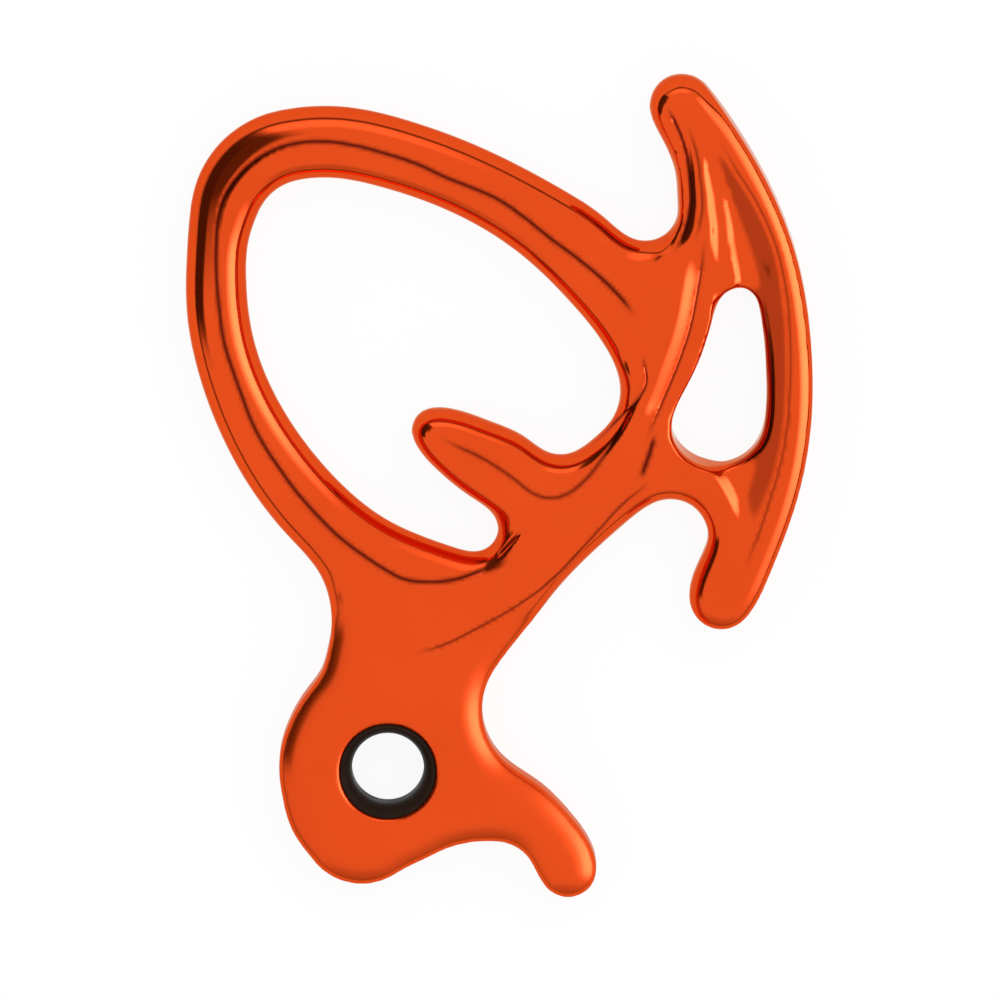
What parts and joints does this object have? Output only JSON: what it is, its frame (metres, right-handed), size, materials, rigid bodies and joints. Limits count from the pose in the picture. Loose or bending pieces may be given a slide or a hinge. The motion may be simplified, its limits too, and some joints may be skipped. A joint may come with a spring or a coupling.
{
  "type": "rappel descender",
  "caption": "Orange anodised alloy rappel descender: rope ring with an inner tongue, windowed horn with hook, tail, and a black bush in the carabiner eye",
  "frame": {"origin": "centre of the carabiner eye, on the forging's middle plane", "axes": "+Z square to the plate, out of the face that the picture shows; +Y from the eye towards the ring; +X from the ring's side towards the horns"},
  "size_m": [0.113, 0.1507, 0.012],
  "materials": {
    "body": "glossy orange anodised over a tumbled and polished forging",
    "bush": "satin near-black moulded polymer"
  },
  "bodies": {
    "root": {"forged_body": "body", "eye_bush": "bush"}
  },
  "joints": []
}
